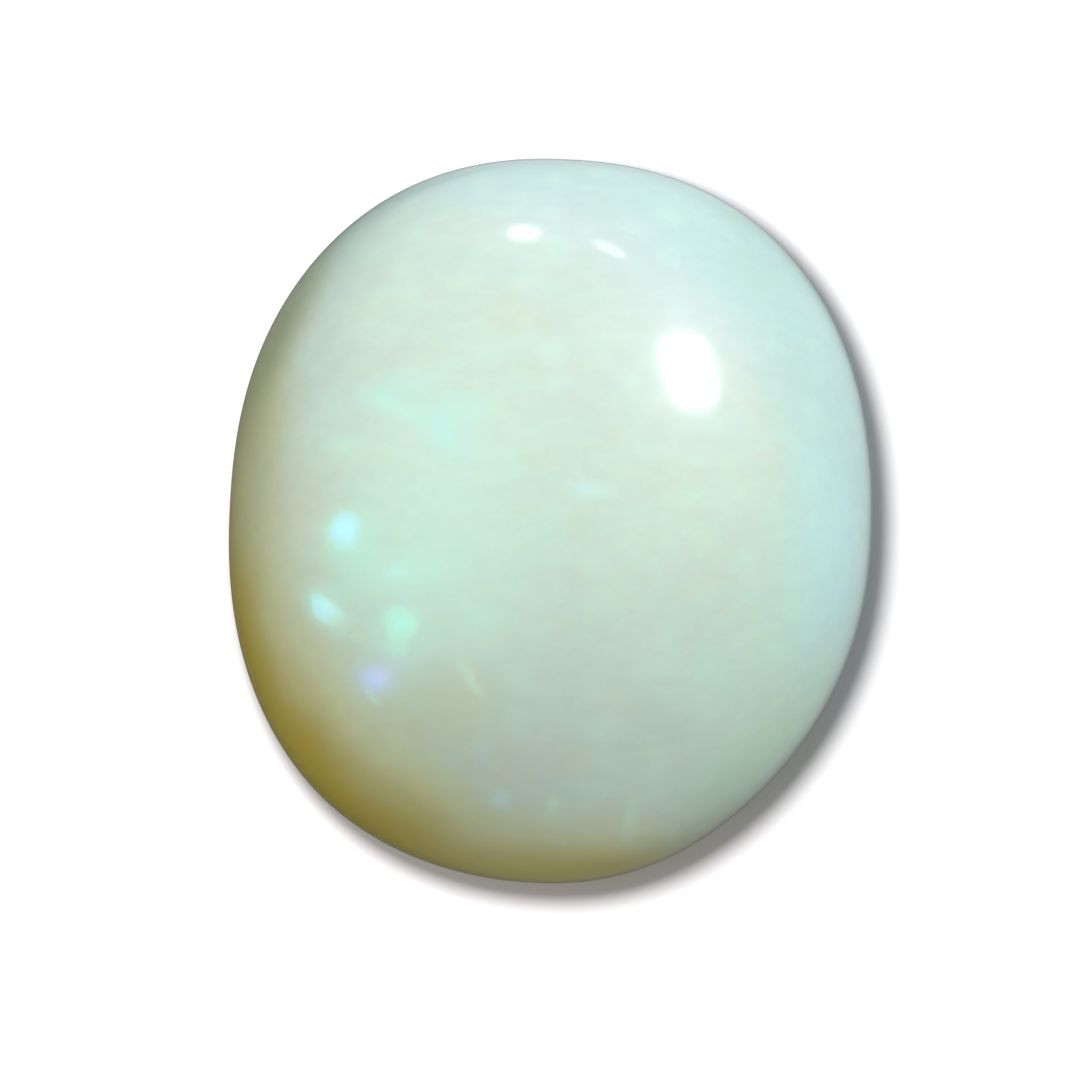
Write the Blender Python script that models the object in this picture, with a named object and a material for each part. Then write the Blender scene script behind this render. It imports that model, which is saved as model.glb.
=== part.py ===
"""A polished opal cabochon: one oval, domed stone with a flat ground back.

The stone lies on its back at Z = 0 with the dome facing +Z.  Its length runs along Y
and its width along X.  It is turned as a round button of radius 1 about Z, and then
every ring is pulled out to the stone's own oval, whose four corners are not equally
full.
"""

import math

import bmesh
import bpy

# Driving dimensions, in metres.
LENGTH = 0.0160
WIDTH = 0.0142
HEIGHT = 0.0065
GIRDLE_HEIGHT = 0.0018

# The oval was cut by eye, so its long axis leans a little to the right of +Y.
OVAL_LEAN = math.radians(2.8)

# How full the oval is at each corner: 2 is a plain ellipse, more is squarer.
# Each entry is (direction of the corner in degrees from the oval's own width axis,
# fullness).
CORNER_FULLNESS = (
    (45.0, 2.26),
    (135.0, 2.22),
    (225.0, 2.25),
    (315.0, 2.00),
)

# The dome's own fullness, on the same scale: evenly round at the crown, and a
# little fuller than an ellipse down at the shoulder.
CROWN_FULLNESS = 2.0
SHOULDER_FULLNESS = 2.25

# The flat back fills this share of the oval, and the rounded underside turns through
# this angle from the upright girdle before the flat back cuts it off.
BACK_SHARE = 0.86
UNDERSIDE_TURN = math.radians(50.0)

# How finely the stone is divided.
SEGMENTS = 96
DOME_RINGS = 28
UNDERSIDE_RINGS = 5
BACK_RINGS = 2

MERGE_DISTANCE = 1.0e-7
EDGE_ANGLE = math.radians(25.0)

STONE_NAME = "opal_cabochon"
STONE_COLOUR = (0.60, 0.79, 0.69, 1.0)
STONE_ROUGHNESS = 0.08
STONE_INDEX = 1.45


def clear_scene():
    """Remove every object, so that the file holds only the stone."""
    for old_object in list(bpy.data.objects):
        bpy.data.objects.remove(old_object, do_unlink=True)


def corner_fullness(own_angle):
    """Fullness of the oval in a direction, eased from each corner to the next."""
    fullness = 0.0
    for corner_degrees, corner_value in CORNER_FULLNESS:
        closeness = math.cos(own_angle - math.radians(corner_degrees))
        if closeness > 0.0:
            fullness += corner_value * closeness ** 2
    return fullness


def oval_radius(angle, share):
    """Distance from the axis to the oval, in a direction from +X.

    A section close to the crown (a small share) is nearly a plain ellipse, so that
    the top of the dome is smooth, and the girdle has the corners' full shape.
    """
    own_angle = angle + OVAL_LEAN
    corner_part = corner_fullness(own_angle) - CROWN_FULLNESS
    fullness = CROWN_FULLNESS + corner_part * share ** 2
    across = abs(math.cos(own_angle)) / (WIDTH / 2)
    along = abs(math.sin(own_angle)) / (LENGTH / 2)
    return (across ** fullness + along ** fullness) ** (-1.0 / fullness)


def back_profile():
    """The flat back, from the axis out to its edge, as (share, height) points."""
    return [(BACK_SHARE * ring / BACK_RINGS, 0.0) for ring in range(BACK_RINGS)]


def underside_profile():
    """The rounded underside, from the edge of the flat back up to the girdle."""
    reach = (1.0 - BACK_SHARE) / (1.0 - math.cos(UNDERSIDE_TURN))
    drop = GIRDLE_HEIGHT / math.sin(UNDERSIDE_TURN)
    points = []
    for ring in range(UNDERSIDE_RINGS):
        turn = UNDERSIDE_TURN * (1.0 - ring / UNDERSIDE_RINGS)
        share = 1.0 - reach * (1.0 - math.cos(turn))
        height = GIRDLE_HEIGHT - drop * math.sin(turn)
        points.append((share, height))
    return points


def dome_profile():
    """The dome, from the girdle up to the crown."""
    rise = HEIGHT - GIRDLE_HEIGHT
    points = []
    for ring in range(DOME_RINGS):
        turn = math.pi / 2 * ring / DOME_RINGS
        share = math.cos(turn) ** (2.0 / CROWN_FULLNESS)
        height = GIRDLE_HEIGHT + rise * math.sin(turn) ** (2.0 / SHOULDER_FULLNESS)
        points.append((share, height))
    points.append((0.0, HEIGHT))
    return points


def turn_button(stone_mesh):
    """Spin the profile about Z into a closed round button of radius 1."""
    profile = back_profile() + underside_profile() + dome_profile()
    verts = [stone_mesh.verts.new((share, 0.0, height)) for share, height in profile]
    edges = [stone_mesh.edges.new(pair) for pair in zip(verts, verts[1:])]
    bmesh.ops.spin(
        stone_mesh,
        geom=verts + edges,
        cent=(0.0, 0.0, 0.0),
        axis=(0.0, 0.0, 1.0),
        angle=math.tau,
        steps=SEGMENTS,
        use_merge=True,
    )
    bmesh.ops.remove_doubles(stone_mesh, verts=stone_mesh.verts, dist=MERGE_DISTANCE)


def pull_to_oval(stone_mesh):
    """Move every ring of the round button out to the stone's oval."""
    for vert in stone_mesh.verts:
        share = math.hypot(vert.co.x, vert.co.y)
        angle = math.atan2(vert.co.y, vert.co.x)
        radius = share * oval_radius(angle, share)
        vert.co.x = radius * math.cos(angle)
        vert.co.y = radius * math.sin(angle)


def centre_on_axis(stone_mesh):
    """Put the middle of the stone's box on the Z axis."""
    for axis in (0, 1):
        places = [vert.co[axis] for vert in stone_mesh.verts]
        middle = (min(places) + max(places)) / 2
        for vert in stone_mesh.verts:
            vert.co[axis] -= middle


def make_material():
    """Polished, milky, pale green opal."""
    material = bpy.data.materials.new("polished_opal")
    material.use_nodes = True
    shader = material.node_tree.nodes["Principled BSDF"]
    shader.inputs["Base Color"].default_value = STONE_COLOUR
    shader.inputs["Roughness"].default_value = STONE_ROUGHNESS
    shader.inputs["IOR"].default_value = STONE_INDEX
    shader.inputs["Metallic"].default_value = 0.0
    material.diffuse_color = STONE_COLOUR
    return material


def make_stone(collection):
    """Build the stone as one closed solid."""
    stone_mesh = bmesh.new()
    turn_button(stone_mesh)
    pull_to_oval(stone_mesh)
    centre_on_axis(stone_mesh)
    bmesh.ops.recalc_face_normals(stone_mesh, faces=stone_mesh.faces)

    mesh = bpy.data.meshes.new(STONE_NAME)
    stone_mesh.to_mesh(mesh)
    stone_mesh.free()
    mesh.materials.append(make_material())
    mesh.shade_smooth()
    mesh.set_sharp_from_angle(angle=EDGE_ANGLE)

    stone = bpy.data.objects.new(STONE_NAME, mesh)
    collection.objects.link(stone)
    return stone


def main():
    """Clear the scene and build the stone in a collection of its own."""
    clear_scene()
    collection = bpy.data.collections.new("polished_opal_cabochon")
    bpy.context.scene.collection.children.link(collection)
    make_stone(collection)


main()
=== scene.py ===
# %% [markdown]
# # Dressing a polished opal cabochon
#
# A cabochon is a stone that is ground to a smooth dome and polished, with no flat
# facets. This one is a milky opal, 16 mm long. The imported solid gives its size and
# place. It is made of flat facets, and a mirror polish would show every one of them,
# so this lesson models the same form again as a fine, smooth surface, and then builds
# the opal's colours in shader nodes.

# %% Load the frame
import math

import bmesh
import bpy
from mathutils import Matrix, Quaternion, Vector, noise
from mathutils.bvhtree import BVHTree


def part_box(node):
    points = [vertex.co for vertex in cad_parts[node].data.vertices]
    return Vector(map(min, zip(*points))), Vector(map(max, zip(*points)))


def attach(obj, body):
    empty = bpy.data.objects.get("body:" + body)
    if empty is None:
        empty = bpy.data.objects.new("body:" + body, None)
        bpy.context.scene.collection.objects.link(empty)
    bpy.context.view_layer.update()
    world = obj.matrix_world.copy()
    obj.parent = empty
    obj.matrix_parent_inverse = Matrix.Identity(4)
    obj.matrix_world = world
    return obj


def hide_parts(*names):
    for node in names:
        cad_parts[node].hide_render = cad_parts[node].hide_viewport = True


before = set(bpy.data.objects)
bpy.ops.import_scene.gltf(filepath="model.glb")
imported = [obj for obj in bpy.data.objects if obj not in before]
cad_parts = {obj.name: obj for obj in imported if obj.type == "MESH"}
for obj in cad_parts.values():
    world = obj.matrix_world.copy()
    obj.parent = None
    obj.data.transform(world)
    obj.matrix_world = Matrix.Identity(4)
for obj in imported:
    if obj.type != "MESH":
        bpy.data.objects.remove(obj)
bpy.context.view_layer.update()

MM = 0.001
STONE_NODE = "opal_cabochon"
box_low, box_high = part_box(STONE_NODE)
print("CAD solid, mm:", [round(side / MM, 3) for side in box_high - box_low])

# %% [markdown]
# ## The camera
#
# The stone is looked at from straight above, through a long lens, so that its outline
# keeps its true shape. Its length fills 724 of the frame's 1080 pixels, which gives the
# size of one pixel at the girdle, the widest level of the stone. From that and the
# lens, the camera's height follows, and nothing has to be tried out. The stone sits a
# little high and to the right in the frame, so the camera stands off the stone's axis
# by the same amount.

# %% Stand the camera over the stone
FRAME_PIXELS = 1080
STONE_MIDDLE = (550.35, 521.05)
STONE_PIXELS = 724
LENGTH = 16.0 * MM
GIRDLE_HEIGHT = 1.8 * MM
PIXEL = LENGTH / STONE_PIXELS
LENS = 150.0
SENSOR = 36.0
NEAREST_SEEN = 1.0 * MM

camera_data = bpy.data.cameras.new("camera")
camera_data.lens = LENS
camera_data.sensor_width = SENSOR
camera_data.clip_start = NEAREST_SEEN
camera = bpy.data.objects.new("camera", camera_data)
bpy.context.scene.collection.objects.link(camera)
bpy.context.scene.camera = camera
camera.location = (
    (FRAME_PIXELS / 2 - STONE_MIDDLE[0]) * PIXEL,
    (STONE_MIDDLE[1] - FRAME_PIXELS / 2) * PIXEL,
    GIRDLE_HEIGHT + FRAME_PIXELS * PIXEL * LENS / SENSOR,
)
bpy.context.scene.view_settings.view_transform = "Standard"
print("camera height, mm:", round(camera.location.z / MM, 1))

# %% [markdown]
# ## The stone's form
#
# Every level section of the stone is the same oval, drawn in towards the crown. The
# oval was cut by eye: its long axis leans a little, and its four corners are not
# equally full. A superellipse whose exponent eases from corner to corner describes it
# with seven numbers. An exponent of 2 is a plain ellipse, and more is squarer.

# %% The oval and the dome
WIDTH = 14.2 * MM
HEIGHT = 6.5 * MM
OVAL_LEAN = math.radians(2.8)
CORNER_FULLNESS = {45: 2.26, 135: 2.22, 225: 2.25, 315: 2.00}
CROWN_FULLNESS = 2.0
SHOULDER_FULLNESS = 2.25


def oval_radius(angle, share):
    """Distance from the axis to the oval in a direction, at a section of that share."""
    own_angle = angle + OVAL_LEAN
    corner_part = -CROWN_FULLNESS
    for corner, value in CORNER_FULLNESS.items():
        closeness = max(0.0, math.cos(own_angle - math.radians(corner)))
        corner_part += value * closeness ** 2
    fullness = CROWN_FULLNESS + corner_part * share ** 2
    across = abs(math.cos(own_angle)) / (WIDTH / 2)
    along = abs(math.sin(own_angle)) / (LENGTH / 2)
    return (across ** fullness + along ** fullness) ** (-1.0 / fullness)


def dome_height(share):
    """Height of the dome where its section has grown to this share of the girdle."""
    rise = HEIGHT - GIRDLE_HEIGHT
    rounded = max(0.0, 1.0 - share ** CROWN_FULLNESS)
    return GIRDLE_HEIGHT + rise * rounded ** (1.0 / SHOULDER_FULLNESS)


# %% [markdown]
# The form could be spun from a profile, but a spin ends in a pole at the crown, where
# hundreds of thin triangles meet and pinch the reflections. A cube has no pole. Its
# faces are divided into a grid, and then each face is laid on one part of the stone:
# the bottom on the flat back, the four sides round the underside, the girdle and the
# shoulder, and the top on the crown. The cube's bottom edges become the edge of the
# back, so that edge is one clean loop that can be bevelled. A square pressed into a
# disc bunches its lines up at the four corners. The smooth crown can take that, but on
# the back the bevel would fold the narrow faces over, so its rings are spaced evenly.

# %% Lay a divided cube over the stone
BACK_SHARE = 0.86
UNDERSIDE_TURN = math.radians(50.0)
UNDERSIDE_PART = 0.26
CROWN_SHARE = 0.50
CUBE_CUTS = 95
CUBE_FACE = 0.9999


def side_ring(climb):
    """Share and height of a ring on the stone's side, climb 0 at the back, 1 at the crown."""
    if climb < UNDERSIDE_PART:
        turn = UNDERSIDE_TURN * (1.0 - climb / UNDERSIDE_PART)
        reach = (1.0 - BACK_SHARE) / (1.0 - math.cos(UNDERSIDE_TURN))
        drop = GIRDLE_HEIGHT / math.sin(UNDERSIDE_TURN)
        return 1.0 - reach * (1.0 - math.cos(turn)), GIRDLE_HEIGHT - drop * math.sin(turn)
    turn = (climb - UNDERSIDE_PART) / (1.0 - UNDERSIDE_PART) * math.acos(CROWN_SHARE)
    return math.cos(turn), dome_height(math.cos(turn))


def lay_on_stone(cube_point):
    """Where a point of the cube, which runs from -1 to 1 each way, lies on the stone."""
    x, y, z = cube_point
    disc_x = x * math.sqrt(1.0 - y * y / 2)
    disc_y = y * math.sqrt(1.0 - x * x / 2)
    angle = math.atan2(disc_y, disc_x)
    on_disc = min(1.0, math.hypot(disc_x, disc_y))
    share, height = side_ring((z + 1.0) / 2)
    on_square = max(abs(x), abs(y))
    if on_square < CUBE_FACE:
        share *= on_disc if z > 0.0 else on_square
        height = dome_height(share) if z > 0.0 else 0.0
    radius = share * oval_radius(angle, share)
    return Vector((radius * math.cos(angle), radius * math.sin(angle), height))


stone_mesh = bmesh.new()
bmesh.ops.create_cube(stone_mesh, size=2.0)
bmesh.ops.subdivide_edges(
    stone_mesh, edges=stone_mesh.edges[:], cuts=CUBE_CUTS, use_grid_fill=True
)
back_edge = [
    edge for edge in stone_mesh.edges
    if all(v.co.z < -CUBE_FACE and max(abs(v.co.x), abs(v.co.y)) > CUBE_FACE for v in edge.verts)
]
for vert in stone_mesh.verts:
    vert.co = lay_on_stone(vert.co)
print("loop round the back, edges:", len(back_edge))

# %% [markdown]
# A ground edge is never a knife edge: handling wears it round. The bevel runs once
# round the back. It measures from the faces' normals, which still belong to the cube,
# so they are updated first. The polished dome is not perfect either. A stone held by
# hand against a wheel keeps long, shallow waves a few hundredths of a millimetre deep,
# which bend the edges of its reflections. The waves fade in above the back and only
# take material away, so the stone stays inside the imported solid.

# %% Ease the edge and leave the marks of hand polishing
EDGE_WEAR = 0.07 * MM
EDGE_SEGMENTS = 3
WAVE_LENGTH = 4.2 * MM
WAVE_DEPTH = 0.030 * MM
WAVE_START = 0.2

stone_mesh.normal_update()
bmesh.ops.bevel(
    stone_mesh, geom=back_edge, offset=EDGE_WEAR, offset_type="OFFSET",
    segments=EDGE_SEGMENTS, profile=0.5, affect="EDGES", material=-1,
)
bmesh.ops.recalc_face_normals(stone_mesh, faces=stone_mesh.faces[:])
stone_mesh.normal_update()
for vert in stone_mesh.verts:
    on_dome = min(1.0, max(0.0, vert.co.z / GIRDLE_HEIGHT - WAVE_START))
    wave = 0.5 + 0.5 * noise.noise(vert.co / WAVE_LENGTH)
    vert.co -= vert.normal * (WAVE_DEPTH * wave * on_dome)

opal_data = bpy.data.meshes.new("polished_opal")
stone_mesh.to_mesh(opal_data)
stone_surface = BVHTree.FromBMesh(stone_mesh)
stone_mesh.free()
opal_data.shade_smooth()
opal = bpy.data.objects.new("polished_opal", opal_data)
bpy.context.scene.collection.objects.link(opal)
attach(opal, "root")
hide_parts(STONE_NODE)
print("polished surface, faces:", len(opal_data.polygons))

# %% [markdown]
# ## Tools for shader nodes
#
# Everything on this stone is colour and gloss, so most of the lesson is about shader
# nodes. Building them in Python takes many lines that say the same thing: add a node,
# set its values, link its inputs. A few small helpers hold those lines, so that each
# later step reads like a recipe. A helper that returns a node's output can be fed
# straight into the next one.

# %% Helpers that add nodes


def add_node(tree, kind, inputs=None, **settings):
    """Add a shader node. An input is given a plain value or the output that feeds it."""
    node = tree.nodes.new("ShaderNode" + kind)
    for name, value in settings.items():
        setattr(node, name, value)
    for key, value in (inputs or {}).items():
        feed(tree, node.inputs[key], value)
    return node


def feed(tree, socket, value):
    """Link an output to a socket, or set the socket to a plain value."""
    if isinstance(value, bpy.types.NodeSocket):
        tree.links.new(value, socket)
    else:
        socket.default_value = value


def calculate(tree, operation, *values):
    """The result of a Math node."""
    return add_node(tree, "Math", dict(enumerate(values)), operation=operation).outputs[0]


def vectors(tree, operation, *values):
    """The vector that a Vector Math node gives."""
    return add_node(tree, "VectorMath", dict(enumerate(values)), operation=operation).outputs[0]


def fade(tree, value, low, high, most=1.0):
    """0 where the value is at low, the most where it is at high, with a smooth change between."""
    limits = {"Value": value, "From Min": low, "From Max": high, "To Max": most}
    node = add_node(tree, "MapRange", limits, interpolation_type="SMOOTHSTEP")
    return node.outputs["Result"]


def mix(tree, share, first, second, blend="MIX"):
    """Blend two colours. Socket 0 is the share, and 6 and 7 are the colours."""
    node = add_node(tree, "Mix", data_type="RGBA", blend_type=blend, clamp_result=True)
    for number, value in ((0, share), (6, first), (7, second)):
        feed(tree, node.inputs[number], value)
    return node.outputs[2]


def cloud(tree, point, scale, detail=2.0, roughness=0.5):
    """The outputs of a soft noise, about 0.5 on average."""
    inputs = {"Vector": point, "Scale": scale, "Detail": detail, "Roughness": roughness}
    return add_node(tree, "TexNoise", inputs).outputs


def length_of(tree, vector):
    """The length of a vector."""
    return add_node(tree, "VectorMath", {0: vector}, operation="LENGTH").outputs["Value"]


print("node helpers: add_node, feed, calculate, vectors, fade, mix, cloud, length_of")

# %% [markdown]
# A node group is a tool of one's own: it has named inputs and outputs, and can be
# placed as often as it is needed, each time with other values. The stone needs its
# fleck of colour some forty times, so groups save hundreds of nodes.

# %% Helpers that make and place node groups


def start_group(name, inputs, outputs):
    """A new node group, the sockets that its inputs come from, and those of its result."""
    group = bpy.data.node_groups.new(name, "ShaderNodeTree")
    for label, kind in inputs:
        group.interface.new_socket(label, in_out="INPUT", socket_type="NodeSocket" + kind)
    for label, kind in outputs:
        group.interface.new_socket(label, in_out="OUTPUT", socket_type="NodeSocket" + kind)
    given = group.nodes.new("NodeGroupInput").outputs
    result = group.nodes.new("NodeGroupOutput").inputs
    return group, given, result


def place_group(tree, group, **inputs):
    """Place a group and feed its inputs. A space in a name is written as _ here."""
    node = tree.nodes.new("ShaderNodeGroup")
    node.node_tree = group
    for label, value in inputs.items():
        feed(tree, node.inputs[label.replace("_", " ")], value)
    return node.outputs


print("group helpers: start_group, place_group")

# %% [markdown]
# ## Tints at the rim
#
# The crescents at the rim are painted light. The amber and straw ones stand in for the
# warm tint of light that has passed through the milk, and for the shade on the side
# away from the window lamp. The aqua one is a painted cool sheen on the lit rim.
# Painting these on with a picture would need a picture. A crescent is simpler: it is
# the part of the oval that lies far from a point that is set off the middle. The waver
# that is fed in is a noise, which makes its inner edge wander. Below the girdle the
# distance is stretched, so that the tint runs on down the underside.

# %% Group: a crescent of tint
UNDERSIDE_STRETCH = 0.16


def build_rim_tint():
    """1 in a crescent at the stone's rim, 0 in its middle."""
    group, given, result = start_group(
        "rim_tint",
        [("Point", "Vector"), ("Offset", "Vector"), ("Inner", "Float"),
         ("Outer", "Float"), ("Waver", "Float")],
        [("Mask", "Float")],
    )
    half_size = (WIDTH / MM / 2, LENGTH / MM / 2, 1.0)
    in_oval = vectors(group, "DIVIDE", given["Point"], half_size)
    in_plan = vectors(group, "MULTIPLY", in_oval, (1.0, 1.0, 0.0))
    off_middle = vectors(group, "SUBTRACT", in_plan, given["Offset"])
    distance = length_of(group, off_middle)
    height = add_node(group, "SeparateXYZ", {0: given["Point"]}).outputs["Z"]
    below_girdle = fade(group, height, GIRDLE_HEIGHT / MM, 0.0)
    distance = calculate(group, "ADD", distance, given["Waver"])
    distance = calculate(group, "MULTIPLY_ADD", below_girdle, UNDERSIDE_STRETCH, distance)
    mask = fade(group, distance, given["Inner"], given["Outer"])
    group.links.new(mask, result["Mask"])
    return group


rim_tint = build_rim_tint()
print("rim_tint nodes:", len(rim_tint.nodes))

# %% [markdown]
# ## Milk in the stone
#
# Common opal is clouded by tiny droplets of water. The clouds differ a little from
# place to place: lilac where they are fine, mint where they are coarse, and warmer
# along the layers that the stone grew in. The lengths are in millimetres, because the
# material first turns metres into millimetres. A finer grain shades the colour by a
# few hundredths and keeps the surface from looking like plastic.

# %% Group: milky clouds
CLOUD_SCALE = 0.42
LAYER_SCALE = 0.75
LAYER_LAY = (0.7, 1.3, 1.3)
LAYER_TILT = (0.3, 0.0, 0.2)
GRAIN_SCALE = 2.4
CLOUD_EDGES = (0.34, 0.66)
LAYER_EDGES = (0.42, 0.80)
GRAIN_EDGES = (0.28, 0.72)


def build_milky_clouds():
    """Three masks for the milk: broad clouds, warm layers and fine grain."""
    group, given, result = start_group(
        "milky_clouds",
        [("Point", "Vector")],
        [("Clouds", "Float"), ("Layers", "Float"), ("Grain", "Float")],
    )
    lay = {"Vector": given["Point"], "Scale": LAYER_LAY, "Rotation": LAYER_TILT}
    along_layers = add_node(group, "Mapping", lay).outputs[0]
    broad = cloud(group, given["Point"], CLOUD_SCALE, detail=5.0, roughness=0.62)
    layers = cloud(group, along_layers, LAYER_SCALE, detail=3.0, roughness=0.6)
    grain = cloud(group, along_layers, GRAIN_SCALE, detail=2.0, roughness=0.6)
    group.links.new(fade(group, broad["Fac"], *CLOUD_EDGES), result["Clouds"])
    group.links.new(fade(group, layers["Fac"], *LAYER_EDGES), result["Layers"])
    group.links.new(fade(group, grain["Fac"], *GRAIN_EDGES), result["Grain"])
    return group


milky_clouds = build_milky_clouds()
print("milky_clouds nodes:", len(milky_clouds.nodes))

# %% [markdown]
# ## Play of colour
#
# Precious opal holds stacks of tiny silica balls that split light into pure colours.
# Each stack shows as one fleck, and its colour depends on how it lies. A fleck here is
# a soft ellipsoid in the stone. A Mapping node of the Texture type does all the work:
# it moves the point to the fleck's middle, turns it back and divides it by the fleck's
# size, so that its length is 0 in the middle and 1 at the edge. Softness says how far
# to both sides of the edge the colour fades. The point comes in already bent by a
# noise, so that no fleck is a neat oval.

# %% Group: one fleck of colour


def build_fleck():
    """The given strength in the middle of a fleck, fading to 0 round it."""
    group, given, result = start_group(
        "colour_fleck",
        [("Point", "Vector"), ("Centre", "Vector"), ("Turn", "Vector"),
         ("Half Size", "Vector"), ("Softness", "Float"), ("Strength", "Float")],
        [("Mask", "Float")],
    )
    core = calculate(group, "SUBTRACT", 1.0, given["Softness"])
    rim = calculate(group, "ADD", 1.0, given["Softness"])
    lay = {
        "Vector": given["Point"], "Location": given["Centre"],
        "Rotation": given["Turn"], "Scale": given["Half Size"],
    }
    in_fleck = add_node(group, "Mapping", lay, vector_type="TEXTURE").outputs[0]
    distance = length_of(group, in_fleck)
    mask = fade(group, distance, rim, core, given["Strength"])
    group.links.new(mask, result["Mask"])
    return group


colour_fleck = build_fleck()
print("colour_fleck nodes:", len(colour_fleck.nodes))

# %% [markdown]
# Besides its few bright flecks, such a stone has a faint grain of colour all over,
# called pinfire. A Voronoi texture cuts space into cells and gives each one a colour
# at random. One of its channels picks the few cells that are lit, and another one
# chooses each lit cell's hue.

# %% Group: pinfire
PINFIRE_EDGE = 0.62
PINFIRE_CORE = 0.12


def build_pinfire():
    """A mask of the lit grains, and a random value from 0 to 1 for each grain's hue."""
    group, given, result = start_group(
        "pinfire",
        [("Point", "Vector"), ("Grain", "Float"), ("Share", "Float")],
        [("Mask", "Float"), ("Hue", "Float")],
    )
    cells_per_mm = calculate(group, "DIVIDE", 1.0, given["Grain"])
    cells = add_node(group, "TexVoronoi", {"Vector": given["Point"], "Scale": cells_per_mm})
    chance = add_node(group, "SeparateColor", {0: cells.outputs["Color"]}).outputs
    lit = calculate(group, "LESS_THAN", chance["Red"], given["Share"])
    soft = fade(group, cells.outputs["Distance"], PINFIRE_EDGE, PINFIRE_CORE)
    group.links.new(calculate(group, "MULTIPLY", lit, soft), result["Mask"])
    group.links.new(chance["Green"], result["Hue"])
    return group


pinfire = build_pinfire()
print("pinfire nodes:", len(pinfire.nodes))

# %% [markdown]
# ## The ground back
#
# Only the dome is polished. The flat back is ground on a lap and left satin, with
# fine straight scratches. One mask tells the back from the rest: it is the surface's
# height above the table, which only the back has at 0. The scratches are a noise that
# is stretched a hundred times along one direction. They could be bumps, but a Bump node
# makes each ray that leaves the milk work out the whole material once more. Lines that
# are a little darker look the same on a satin face and cost nothing.

# %% Group: ground back
BACK_FADE = 0.06
SCRATCH_LAY = (0.12, 14.0, 1.0)
SCRATCH_TURN = (0.0, 0.0, 0.5)
SCRATCH_EDGES = (0.45, 0.70)


def build_ground_back():
    """1 on the flat back, and how dark its scratches are."""
    group, given, result = start_group(
        "ground_back", [("Point", "Vector")], [("Ground", "Float"), ("Scratches", "Float")]
    )
    height = add_node(group, "SeparateXYZ", {0: given["Point"]}).outputs["Z"]
    ground = fade(group, height, BACK_FADE, 0.0)
    lay = {"Vector": given["Point"], "Scale": SCRATCH_LAY, "Rotation": SCRATCH_TURN}
    along_scratches = add_node(group, "Mapping", lay).outputs[0]
    scratches = cloud(group, along_scratches, 1.0, detail=2.0, roughness=0.7)["Fac"]
    scratches = fade(group, scratches, *SCRATCH_EDGES)
    scratches = calculate(group, "MULTIPLY", scratches, ground)
    group.links.new(ground, result["Ground"])
    group.links.new(scratches, result["Scratches"])
    return group


ground_back = build_ground_back()
print("ground_back nodes:", len(ground_back.nodes))

# %% [markdown]
# ## The opal's colour, layer by layer
#
# Now the groups are put to work, from the inside out: milk first, then the tints at
# the rim, then the grain. Object coordinates stay with the stone however it is moved
# or looked at, so all patterns are laid in them.

# %% Mix the body of the stone
MILK_MINT = (0.66, 0.83, 0.715, 1.0)
MILK_LILAC = (0.64, 0.77, 0.685, 1.0)
MILK_WARM = (0.675, 0.76, 0.635, 1.0)
# Painted light: the aqua is a cool sheen on the lit rim, and the straw and amber stand in for warm
# light through the milk and the shade on the side away from the lamp.
AQUA_SHEEN = (0.55, 0.795, 0.77, 1.0)
STRAW_SHADE = (0.73, 0.78, 0.45, 1.0)
AMBER_SHADE = (0.63, 0.52, 0.09, 1.0)
GRAIN_SHADE = (0.965, 0.965, 0.965, 1.0)
WHITE = (1.0, 1.0, 1.0, 1.0)
AQUA_SIDE = (-0.18, -0.12, 0.0)
AMBER_SIDE = (0.25, 0.25, 0.0)
WAVER_SCALE = 0.45
WAVER_REACH = 0.12

opal_material = bpy.data.materials.new("milky_opal")
opal_material.use_nodes = True
stone_tree = opal_material.node_tree
opal_shader = stone_tree.nodes["Principled BSDF"]

object_point = add_node(stone_tree, "TexCoord").outputs["Object"]
to_mm = {"Vector": object_point, "Scale": (1 / MM, 1 / MM, 1 / MM)}
point = add_node(stone_tree, "Mapping", to_mm).outputs[0]

milk = place_group(stone_tree, milky_clouds, Point=point)
waver = cloud(stone_tree, point, WAVER_SCALE)["Fac"]
waver = calculate(stone_tree, "SUBTRACT", waver, 0.5)
waver = calculate(stone_tree, "MULTIPLY", waver, WAVER_REACH)
# Masks of the painted aqua sheen and of the painted straw and amber shade
aqua_sheen = place_group(
    stone_tree, rim_tint, Point=point, Offset=AQUA_SIDE, Inner=0.86, Outer=1.12, Waver=waver
)
straw_shade = place_group(
    stone_tree, rim_tint, Point=point, Offset=AMBER_SIDE, Inner=0.98, Outer=1.21, Waver=waver
)
amber_shade = place_group(
    stone_tree, rim_tint, Point=point, Offset=AMBER_SIDE, Inner=1.14, Outer=1.33, Waver=waver
)

body = mix(stone_tree, milk["Clouds"], MILK_LILAC, MILK_MINT)
body = mix(stone_tree, milk["Layers"], body, MILK_WARM)
print("milk, nodes:", len(stone_tree.nodes))

# %% [markdown]
# The milk also has broad, soft veils, and the bright flecks come later. Both use the
# fleck group, and both are listed one by one. An entry says where it shows in the 1080
# pixel frame, its length and width in millimetres, the turn of its length in degrees,
# its colour and its strength. The pixel is turned into a place on the dome by sending
# a ray from the camera, so that the lists and the form can't drift apart.

# %% A helper that lays a list of flecks over a colour
RAGGED_SCALE = 2.6
RAGGED_REACH = 0.24
FLECK_DEPTH = 1.2


def sight_line(frame_x, frame_y):
    """Direction from the camera through a pixel of the frame."""
    per_pixel = SENSOR / LENS / FRAME_PIXELS
    across = (frame_x - FRAME_PIXELS / 2) * per_pixel
    up = (FRAME_PIXELS / 2 - frame_y) * per_pixel
    return Vector((across, up, -1.0)).normalized()


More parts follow.
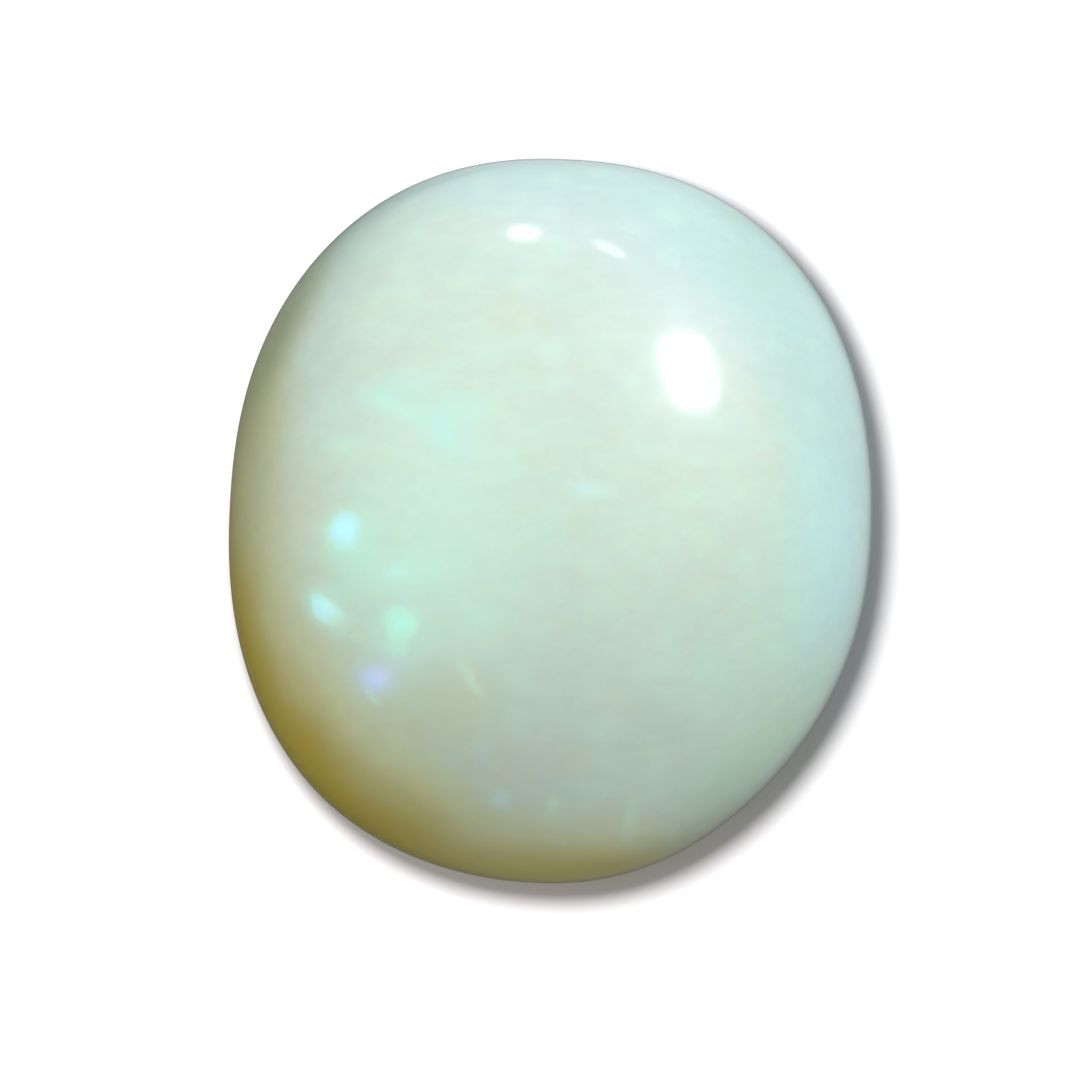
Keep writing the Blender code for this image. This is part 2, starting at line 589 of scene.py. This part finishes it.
def ragged(tree, point):
    """The same points, moved a little by a noise."""
    bend = cloud(tree, point, RAGGED_SCALE, detail=3.0, roughness=0.6)["Color"]
    bend = vectors(tree, "SUBTRACT", bend, (0.5, 0.5, 0.5))
    bend = vectors(tree, "MULTIPLY", bend, (RAGGED_REACH, RAGGED_REACH, RAGGED_REACH))
    return vectors(tree, "ADD", point, bend)


def lay_flecks(tree, colour, entries, softness):
    """Mix every fleck of a list over a colour, one after another."""
    for spot, length, width, turn, fleck_colour, strength in entries:
        on_dome = stone_surface.ray_cast(camera.location, sight_line(*spot))[0]
        fleck = place_group(
            tree, colour_fleck, Point=ragged_point, Centre=on_dome / MM,
            Turn=(0.0, 0.0, math.radians(turn)), Softness=softness, Strength=strength,
            Half_Size=(length / 2, width / 2, max(FLECK_DEPTH, width / 2)),
        )
        colour = mix(tree, fleck["Mask"], colour, fleck_colour)
    return colour


ragged_point = ragged(stone_tree, point)
print("helpers: sight_line, ragged, lay_flecks")

# %% [markdown]
# ### Veils, and the tints at the rim
#
# A veil is a fleck some millimetres across whose edge is soft all the way in, so it
# only tones the milk. The heart of the stone is a fresh green, and its upper right has
# a painted pale, cool sheen, which stands in for the reflection of the far card. The
# order counts, as with glazes of paint: these lie under the aqua, straw and amber
# crescents, and the second list lies over them. It paints shade on the rim at the left
# in khaki and on the near rim in olive, carries the painted warm shade of the straw
# crescent on with sand, paints a cool reflection along the top rim, warms the milk
# beside the flecks with cream, darkens the upper right rim a little with moss, and
# brings sage and a painted sheen of lagoon blue into the right side.

# %% Veils and tints
HEART = (0.67, 0.92, 0.79, 1.0)
# painted reflection: a pale, cool sheen on the upper right, from the far card
PAINTED_SHEEN = (0.63, 0.73, 0.745, 1.0)
# painted reflection: a cool tint along the top rim
PAINTED_TOP_SHEEN = (0.60, 0.75, 0.80, 1.0)
# painted sheen: aqua light along the right rim
LAGOON_SHEEN = (0.56, 0.88, 0.86, 1.0)
SAGE = (0.60, 0.86, 0.60, 1.0)
LEAF = (0.63, 0.88, 0.76, 1.0)
# painted shade: the dark rim at the left
KHAKI_SHADE = (0.36, 0.47, 0.26, 1.0)
# painted shade: the dark near rim
OLIVE_SHADE = (0.66, 0.60, 0.09, 1.0)
# painted shade: the warm straw tint carried on at the left and lower left
SAND_SHADE = (0.62, 0.64, 0.36, 1.0)
CREAM = (0.76, 0.82, 0.62, 1.0)
MOSS = (0.48, 0.60, 0.53, 1.0)

MILK_AND_SHEEN_VEILS = (
    ((412, 543), 4.80, 5.20, 0, HEART, 0.95),
    # painted reflection of the far card
    ((716, 285), 5.50, 4.50, 0, PAINTED_SHEEN, 0.75),
    ((775, 640), 3.60, 2.40, 30, LEAF, 0.65),
)
RIM_VEILS = (
    # painted aqua sheen along the right rim
    ((830, 545), 4.40, 2.30, 90, LAGOON_SHEEN, 0.62),
    ((762, 760), 5.00, 1.40, 45, SAGE, 0.60),
    # painted shade at the left rim, then painted warm shade beside it and lower left
    ((271, 352), 5.00, 0.80, 64, KHAKI_SHADE, 0.70),
    ((256, 455), 4.20, 1.50, 86, SAND_SHADE, 0.60),
    ((448, 712), 2.40, 1.60, 0, SAND_SHADE, 0.35),
    # painted cool reflection along the top rim
    ((555, 222), 7.00, 2.60, 0, PAINTED_TOP_SHEEN, 0.35),
    ((671, 220), 6.40, 1.70, -22, MOSS, 0.26),
    ((807, 371), 6.00, 1.60, -60, MOSS, 0.26),
    ((304, 504), 1.70, 2.40, 0, CREAM, 0.50),
    # painted shade on the near rim
    ((560, 876), 4.60, 1.20, 3, OLIVE_SHADE, 1.00),
)
body = lay_flecks(stone_tree, body, MILK_AND_SHEEN_VEILS, softness=1.0)
# Lay the painted aqua sheen, then the painted straw and amber shade
body = mix(stone_tree, aqua_sheen["Mask"], body, AQUA_SHEEN)
body = mix(stone_tree, straw_shade["Mask"], body, STRAW_SHADE)
body = mix(stone_tree, amber_shade["Mask"], body, AMBER_SHADE)
body = lay_flecks(stone_tree, body, RIM_VEILS, softness=1.0)
shade = mix(stone_tree, milk["Grain"], GRAIN_SHADE, WHITE)
body = mix(stone_tree, 1.0, body, shade, "MULTIPLY")
print("body of the stone, nodes:", len(stone_tree.nodes))

# %% [markdown]
# ### Where the fire shows
#
# Most of this stone's fire is at the left: two icy flecks, a mint one and a lavender
# one, with a few pale streaks above them. A bright fleck lights the milk round it, so
# each one stands in a halo, which is the same thing drawn wider and fainter. Light in
# opal is pale, so no colour here is pure: even the lavender is nearly white.

# %% The halos and the flecks
ICE = (0.67, 1.00, 0.92, 1.0)
FROST = (0.69, 0.99, 0.85, 1.0)
MINT = (0.63, 1.00, 0.82, 1.0)
PALE_MINT = (0.65, 0.93, 0.78, 1.0)
LAVENDER = (0.68, 0.84, 0.82, 1.0)
PALE_BLUE = (0.67, 0.90, 0.84, 1.0)
PALE_GREEN = (0.68, 0.89, 0.70, 1.0)
TEAL = (0.51, 0.91, 0.82, 1.0)

HALOS = (
    # round the bright group on the left
    ((349, 538), 1.00, 1.00, 0, MINT, 0.45),
    ((326, 609), 0.95, 0.60, -42, FROST, 0.45),
    ((400, 630), 1.00, 1.25, 0, PALE_MINT, 0.38),
    ((376, 676), 0.95, 0.80, 0, LAVENDER, 0.30),
    ((400, 571), 1.70, 0.75, 3, MINT, 0.30),
    ((354, 587), 0.90, 0.60, 20, PALE_MINT, 0.30),
    # the pale streaks above it
    ((384, 403), 1.10, 0.44, -24, TEAL, 0.24),
    ((402, 414), 0.90, 0.34, -32, PALE_MINT, 0.12),
    ((443, 435), 1.20, 0.60, -34, TEAL, 0.31),
    ((455, 410), 1.10, 0.55, 0, TEAL, 0.24),
    ((408, 386), 1.50, 0.60, 10, TEAL, 0.18),
    ((343, 447), 0.60, 0.36, -20, PALE_MINT, 0.28),
    ((365, 448), 1.30, 0.50, 5, PALE_GREEN, 0.18),
    # single ones in the middle and below
    ((590, 489), 0.80, 0.30, -10, PALE_BLUE, 0.30),
    ((484, 618), 0.90, 0.60, 0, PALE_MINT, 0.16),
    ((462, 664), 0.80, 0.20, -62, PALE_GREEN, 0.20),
    ((473, 684), 0.70, 0.18, -52, PALE_GREEN, 0.24),
    ((501, 800), 0.40, 0.36, 0, PALE_BLUE, 0.20),
    ((552, 804), 0.26, 0.30, 0, PALE_GREEN, 0.22),
    ((630, 820), 0.90, 0.24, 84, PALE_GREEN, 0.25),
)
FLECKS = (
    ((344, 530), 0.50, 0.60, 0, ICE, 0.95),
    ((326, 609), 0.60, 0.34, -42, FROST, 0.90),
    ((335, 621), 0.34, 0.24, -20, PALE_GREEN, 0.40),
    ((400, 623), 0.56, 0.56, 0, MINT, 0.88),
    ((396, 645), 0.46, 0.42, 0, PALE_MINT, 0.55),
    ((377, 678), 0.56, 0.48, 12, LAVENDER, 0.95),
    ((372, 696), 0.36, 0.18, -45, PALE_GREEN, 0.40),
    ((398, 572), 0.50, 0.30, 0, ICE, 0.22),
    ((357, 637), 0.32, 0.22, 0, PALE_GREEN, 0.35),
)
print("halos and flecks:", len(HALOS), len(FLECKS))

# %% [markdown]
# ### Fire over milk
#
# The pinfire goes on first and very faintly. It is kept out of the amber side, where
# mint grains would look like dust. The halos follow with a soft edge, and the flecks
# come last, with a slightly firmer one.

# %% Lay the pinfire and the flecks over the body
PINFIRE_STRENGTH = 0.07
HUE_EDGES = (0.3, 0.7)

fire = place_group(stone_tree, pinfire, Point=ragged_point, Grain=0.8, Share=0.35)
hue = fade(stone_tree, fire["Hue"], *HUE_EDGES)
fire_colour = mix(stone_tree, hue, PALE_MINT, PALE_BLUE)
milky_part = calculate(stone_tree, "SUBTRACT", 1.0, straw_shade["Mask"])
fire_mask = calculate(stone_tree, "MULTIPLY", fire["Mask"], milky_part)
fire_mask = calculate(stone_tree, "MULTIPLY", fire_mask, PINFIRE_STRENGTH)
colour = mix(stone_tree, fire_mask, body, fire_colour)
colour = lay_flecks(stone_tree, colour, HALOS, softness=1.0)
colour = lay_flecks(stone_tree, colour, FLECKS, softness=0.8)
print("stone material, nodes:", len(stone_tree.nodes))

# %% [markdown]
# ## One shader for the whole stone
#
# Light goes into milky opal, wanders about a millimetre and comes out again. That is
# subsurface scattering, with red going a little farther than blue. A clear coat stands
# for the polish. Fire is brighter than the body round it, because a fleck throws the
# light back instead of spreading it, so the difference between the two colours is
# added once more as a faint glow. The back loses its coat and gets its scratches.

# %% Connect the opal shader
GLOW = 1.8
MILK_DEPTH = 1.2 * MM
MILK_SPREAD = (1.0, 0.8, 0.55)
POLISH = 0.12
BODY_ROUGHNESS = 0.5
OPAL_INDEX = 1.45
SCRATCH_SHADE = (0.80, 0.80, 0.80, 1.0)

glow = mix(stone_tree, 1.0, colour, body, "SUBTRACT")
back = place_group(stone_tree, ground_back, Point=point)
polish = calculate(stone_tree, "SUBTRACT", 1.0, back["Ground"])
surface = mix(stone_tree, back["Scratches"], colour, SCRATCH_SHADE, "MULTIPLY")

feed(stone_tree, opal_shader.inputs["Base Color"], surface)
feed(stone_tree, opal_shader.inputs["Emission Color"], glow)
feed(stone_tree, opal_shader.inputs["Coat Weight"], polish)
for label, value in {
    "Emission Strength": GLOW,
    "Roughness": BODY_ROUGHNESS,
    "IOR": OPAL_INDEX,
    "Subsurface Weight": 1.0,
    "Subsurface Radius": MILK_SPREAD,
    "Subsurface Scale": MILK_DEPTH,
    "Coat Roughness": POLISH,
}.items():
    opal_shader.inputs[label].default_value = value
opal_data.materials.append(opal_material)
print("opal material, nodes:", len(stone_tree.nodes))

# %% [markdown]
# ## The table
#
# The stone lies on a plain white table. It is a single large face, a hair below the
# stone's back so that the two don't flicker. It shows the stone's shadow and throws no
# light back at the stone: what a real white table would throw back is part of the sky,
# further on, where each part of it can be set on its own. A lamp that hangs this close
# can't light a table to its far end, so away from the stone the table glows a little
# itself and stays white to the horizon, as a studio sweep does.

# %% Lay the table
TABLE_HALF = 0.6
TABLE_GAP = 0.01 * MM
TABLE_WHITE = (0.87, 0.85, 0.87, 1.0)
TABLE_ROUGHNESS = 0.8
SWEEP_NEAR = 0.03
SWEEP_FAR = 0.18
SWEEP_GLOW = 0.65
BLACK = (0.0, 0.0, 0.0, 1.0)

table_mesh = bmesh.new()
bmesh.ops.create_grid(table_mesh, x_segments=1, y_segments=1, size=TABLE_HALF)
bmesh.ops.translate(table_mesh, verts=table_mesh.verts, vec=(0.0, 0.0, -TABLE_GAP))
table_data = bpy.data.meshes.new("table")
table_mesh.to_mesh(table_data)
table_mesh.free()
table_top = bpy.data.objects.new("table", table_data)
bpy.context.scene.collection.objects.link(table_top)
table_top.visible_glossy = False
table_top.visible_diffuse = False
table_top.visible_shadow = False

table_material = bpy.data.materials.new("white_table")
table_material.use_nodes = True
table_tree = table_material.node_tree
table_shader = table_tree.nodes["Principled BSDF"]
table_shader.inputs["Base Color"].default_value = TABLE_WHITE
table_shader.inputs["Roughness"].default_value = TABLE_ROUGHNESS
table_shader.inputs["Specular IOR Level"].default_value = 0.0
table_shader.inputs["Emission Strength"].default_value = SWEEP_GLOW
table_point = add_node(table_tree, "TexCoord").outputs["Object"]
far_off = fade(table_tree, length_of(table_tree, table_point), SWEEP_NEAR, SWEEP_FAR)
sweep = mix(table_tree, far_off, BLACK, WHITE)
feed(table_tree, table_shader.inputs["Emission Color"], sweep)
table_data.materials.append(table_material)
print("table, metres across:", 2 * TABLE_HALF)

# %% [markdown]
# ## Lamps, placed by their reflections
#
# A polished dome is a curved mirror: it shows a small picture of every lamp. So a lamp
# is best placed backwards. The line from the camera to the spot where its highlight
# should sit is mirrored on the surface there, and the lamp goes on the mirrored line.
# The helper does that, and takes a roll, which turns the lamp and so its highlight.

# %% A lamp whose highlight sits at a given spot
LAMP_DISTANCE = 80 * MM
DISC_SHARE = math.pi / 4


def mirrored_at(frame_x, frame_y):
    """The point of the dome at a pixel of the frame, and the direction that it mirrors."""
    ray = sight_line(frame_x, frame_y)
    place, normal, _, _ = stone_surface.ray_cast(camera.location, ray)
    return place, ray - 2.0 * ray.dot(normal) * normal


def direction_of(azimuth, elevation):
    """The unit vector that points at an azimuth and elevation in degrees."""
    around = math.radians(azimuth)
    up = math.radians(elevation)
    return Vector((math.cos(around) * math.cos(up), math.sin(around) * math.cos(up), math.sin(up)))


def make_lamp(name, target, direction, distance, size, radiance, roll=0.0, shape="RECTANGLE"):
    """An area lamp that faces the target from a direction. Its name and place are printed."""
    lamp_data = bpy.data.lights.new(name, "AREA")
    lamp_data.shape = shape
    lamp_data.size = size[0]
    lamp_data.size_y = size[1]
    area = size[0] * size[1] * (1.0 if shape == "RECTANGLE" else DISC_SHARE)
    lamp_data.energy = radiance * math.pi * area
    lamp = bpy.data.objects.new(name, lamp_data)
    lamp.location = target + direction * distance
    lamp.rotation_mode = "QUATERNION"
    rolled = Quaternion((0.0, 0.0, 1.0), math.radians(roll))
    lamp.rotation_quaternion = direction.to_track_quat("Z", "Y") @ rolled
    lamp.visible_camera = False
    bpy.context.scene.collection.objects.link(lamp)
    azimuth = math.degrees(math.atan2(direction.y, direction.x))
    elevation = math.degrees(math.asin(direction.z))
    print(name, "azimuth", round(azimuth), "elevation", round(elevation))
    return lamp


# %% [markdown]
# One large lamp stands for a window, upper right. A wider and far dimmer one behind it
# is its curtain, and takes the hard edge off the highlight. Two small ones sit low at
# the far side and show as a dot and a short streak.

# %% Place the lamps
window = make_lamp(
    "window", *mirrored_at(692, 371), LAMP_DISTANCE,
    size=(14.9 * MM, 18.7 * MM), radiance=54.0, roll=60,
)
curtain = make_lamp(
    "curtain", *mirrored_at(690, 367), LAMP_DISTANCE,
    size=(26.0 * MM, 29.0 * MM), radiance=2.0, roll=60, shape="ELLIPSE",
)
left_lamp = make_lamp(
    "left_lamp", *mirrored_at(525, 232), LAMP_DISTANCE,
    size=(10.8 * MM, 9.0 * MM), radiance=12.0, roll=90, shape="ELLIPSE",
)
right_lamp = make_lamp(
    "right_lamp", *mirrored_at(609, 248), LAMP_DISTANCE,
    size=(13.5 * MM, 2.8 * MM), radiance=12.0, roll=150, shape="ELLIPSE",
)

# %% [markdown]
# The table's lamp is a small round one that hangs close over the stone, a little to the
# far left. Rays from so near spread out past the stone, so a narrow shadow shows round
# more than half of it. So near a lamp would also leave the table dark a hand's width
# away. The Light Falloff node's Constant output takes that loss out, and the table
# stays evenly pale.

# %% The table's lamp
TABLE_LAMP_WAY = direction_of(azimuth=132, elevation=82)
TABLE_LAMP_DISTANCE = 52 * MM
TABLE_LAMP_RADIUS = 4.6 * MM
TABLE_LAMP_POWER = 37.0

table_lamp_data = bpy.data.lights.new("table_lamp", "POINT")
table_lamp_data.shadow_soft_size = TABLE_LAMP_RADIUS
table_lamp_data.energy = TABLE_LAMP_POWER
table_lamp_data.use_nodes = True
lamp_tree = table_lamp_data.node_tree
even_light = add_node(lamp_tree, "LightFalloff", {"Strength": 1.0}).outputs["Constant"]
feed(lamp_tree, lamp_tree.nodes["Emission"].inputs["Strength"], even_light)
table_lamp = bpy.data.objects.new("table_lamp", table_lamp_data)
table_lamp.location = TABLE_LAMP_WAY * TABLE_LAMP_DISTANCE
table_lamp.visible_camera = False
bpy.context.scene.collection.objects.link(table_lamp)
print("table lamp, mm over the table:", round(table_lamp.location.z / MM, 1))

# %% [markdown]
# The lamps for the gloss would burn out a white table, and the table's lamp would put
# one more dot on the stone. Light linking settles that: a lamp with a receiver
# collection lights only what is in the collection, and the other things still throw
# shadows.

# %% Give each lamp its receiver


def light_only(lamps, name, thing):
    """Let these lamps light one thing and nothing else."""
    receivers = bpy.data.collections.new(name)
    receivers.objects.link(thing)
    for lamp in lamps:
        lamp.light_linking.receiver_collection = receivers
    print(name, "is lit by", [lamp.name for lamp in lamps])


light_only([window, curtain, left_lamp, right_lamp], "lit_stone", opal)
light_only([table_lamp], "lit_table", table_top)

# %% [markdown]
# ## The sky
#
# The rest of the light is soft: white card, walls and the table round the stone. Cards
# made of meshes would have to be kept out of the camera's way. The world can hold them
# instead, as round glows on the sky. A glow is found from the angle between a
# direction and its middle, which a dot product gives. One glow has a hard edge: it is
# a white card behind the stone, and its upper edge shows as a faint step in the gloss.
# The camera itself sees plain white behind everything.

# %% Glows on the sky
# name: azimuth and elevation of its middle, radius and softness in degrees, brightness
PANELS = {
    "left_panel": (178, 32, 33, 32, 0.73),
    "far_panel": (125, 45, 25, 25, 0.38),
    "overhead": (0, 90, 28, 28, 0.37),
    "far_card": (90, -10, 36, 5, 0.53),
    "right_table": (0, -22, 30, 22, 0.51),
    "near_table": (290, -25, 30, 22, 0.25),
    "near_wall": (275, 0, 20, 20, 0.27),
    "under_table": (60, -72, 35, 25, 0.12),
    "far_under": (80, -60, 13, 9, 0.42),
}
FILL = 0.02

world = bpy.data.worlds.new("studio")
bpy.context.scene.world = world
world.use_nodes = True


def light_sky(tree, panels, fill):
    """Build the sky's nodes: a faint fill, the glows, and white for the camera."""
    tree.nodes.clear()
    way = add_node(tree, "TexCoord").outputs["Generated"]
    sky = fill
    for azimuth, elevation, radius, softness, brightness in panels:
        towards = {0: way, 1: direction_of(azimuth, elevation)}
        nearness = add_node(tree, "VectorMath", towards, operation="DOT_PRODUCT")
        outer = math.cos(math.radians(radius + softness))
        inner = math.cos(math.radians(radius - softness))
        glow = fade(tree, nearness.outputs["Value"], outer, inner, brightness)
        sky = calculate(tree, "ADD", sky, glow)
    lit = add_node(tree, "Background", {"Color": WHITE, "Strength": sky}).outputs[0]
    plain = add_node(tree, "Background", {"Color": WHITE}).outputs[0]
    to_camera = add_node(tree, "LightPath").outputs["Is Camera Ray"]
    both = add_node(tree, "MixShader", {0: to_camera, 1: lit, 2: plain}).outputs[0]
    add_node(tree, "OutputWorld", {"Surface": both})


light_sky(world.node_tree, PANELS.values(), FILL)
print("glows on the sky:", list(PANELS))
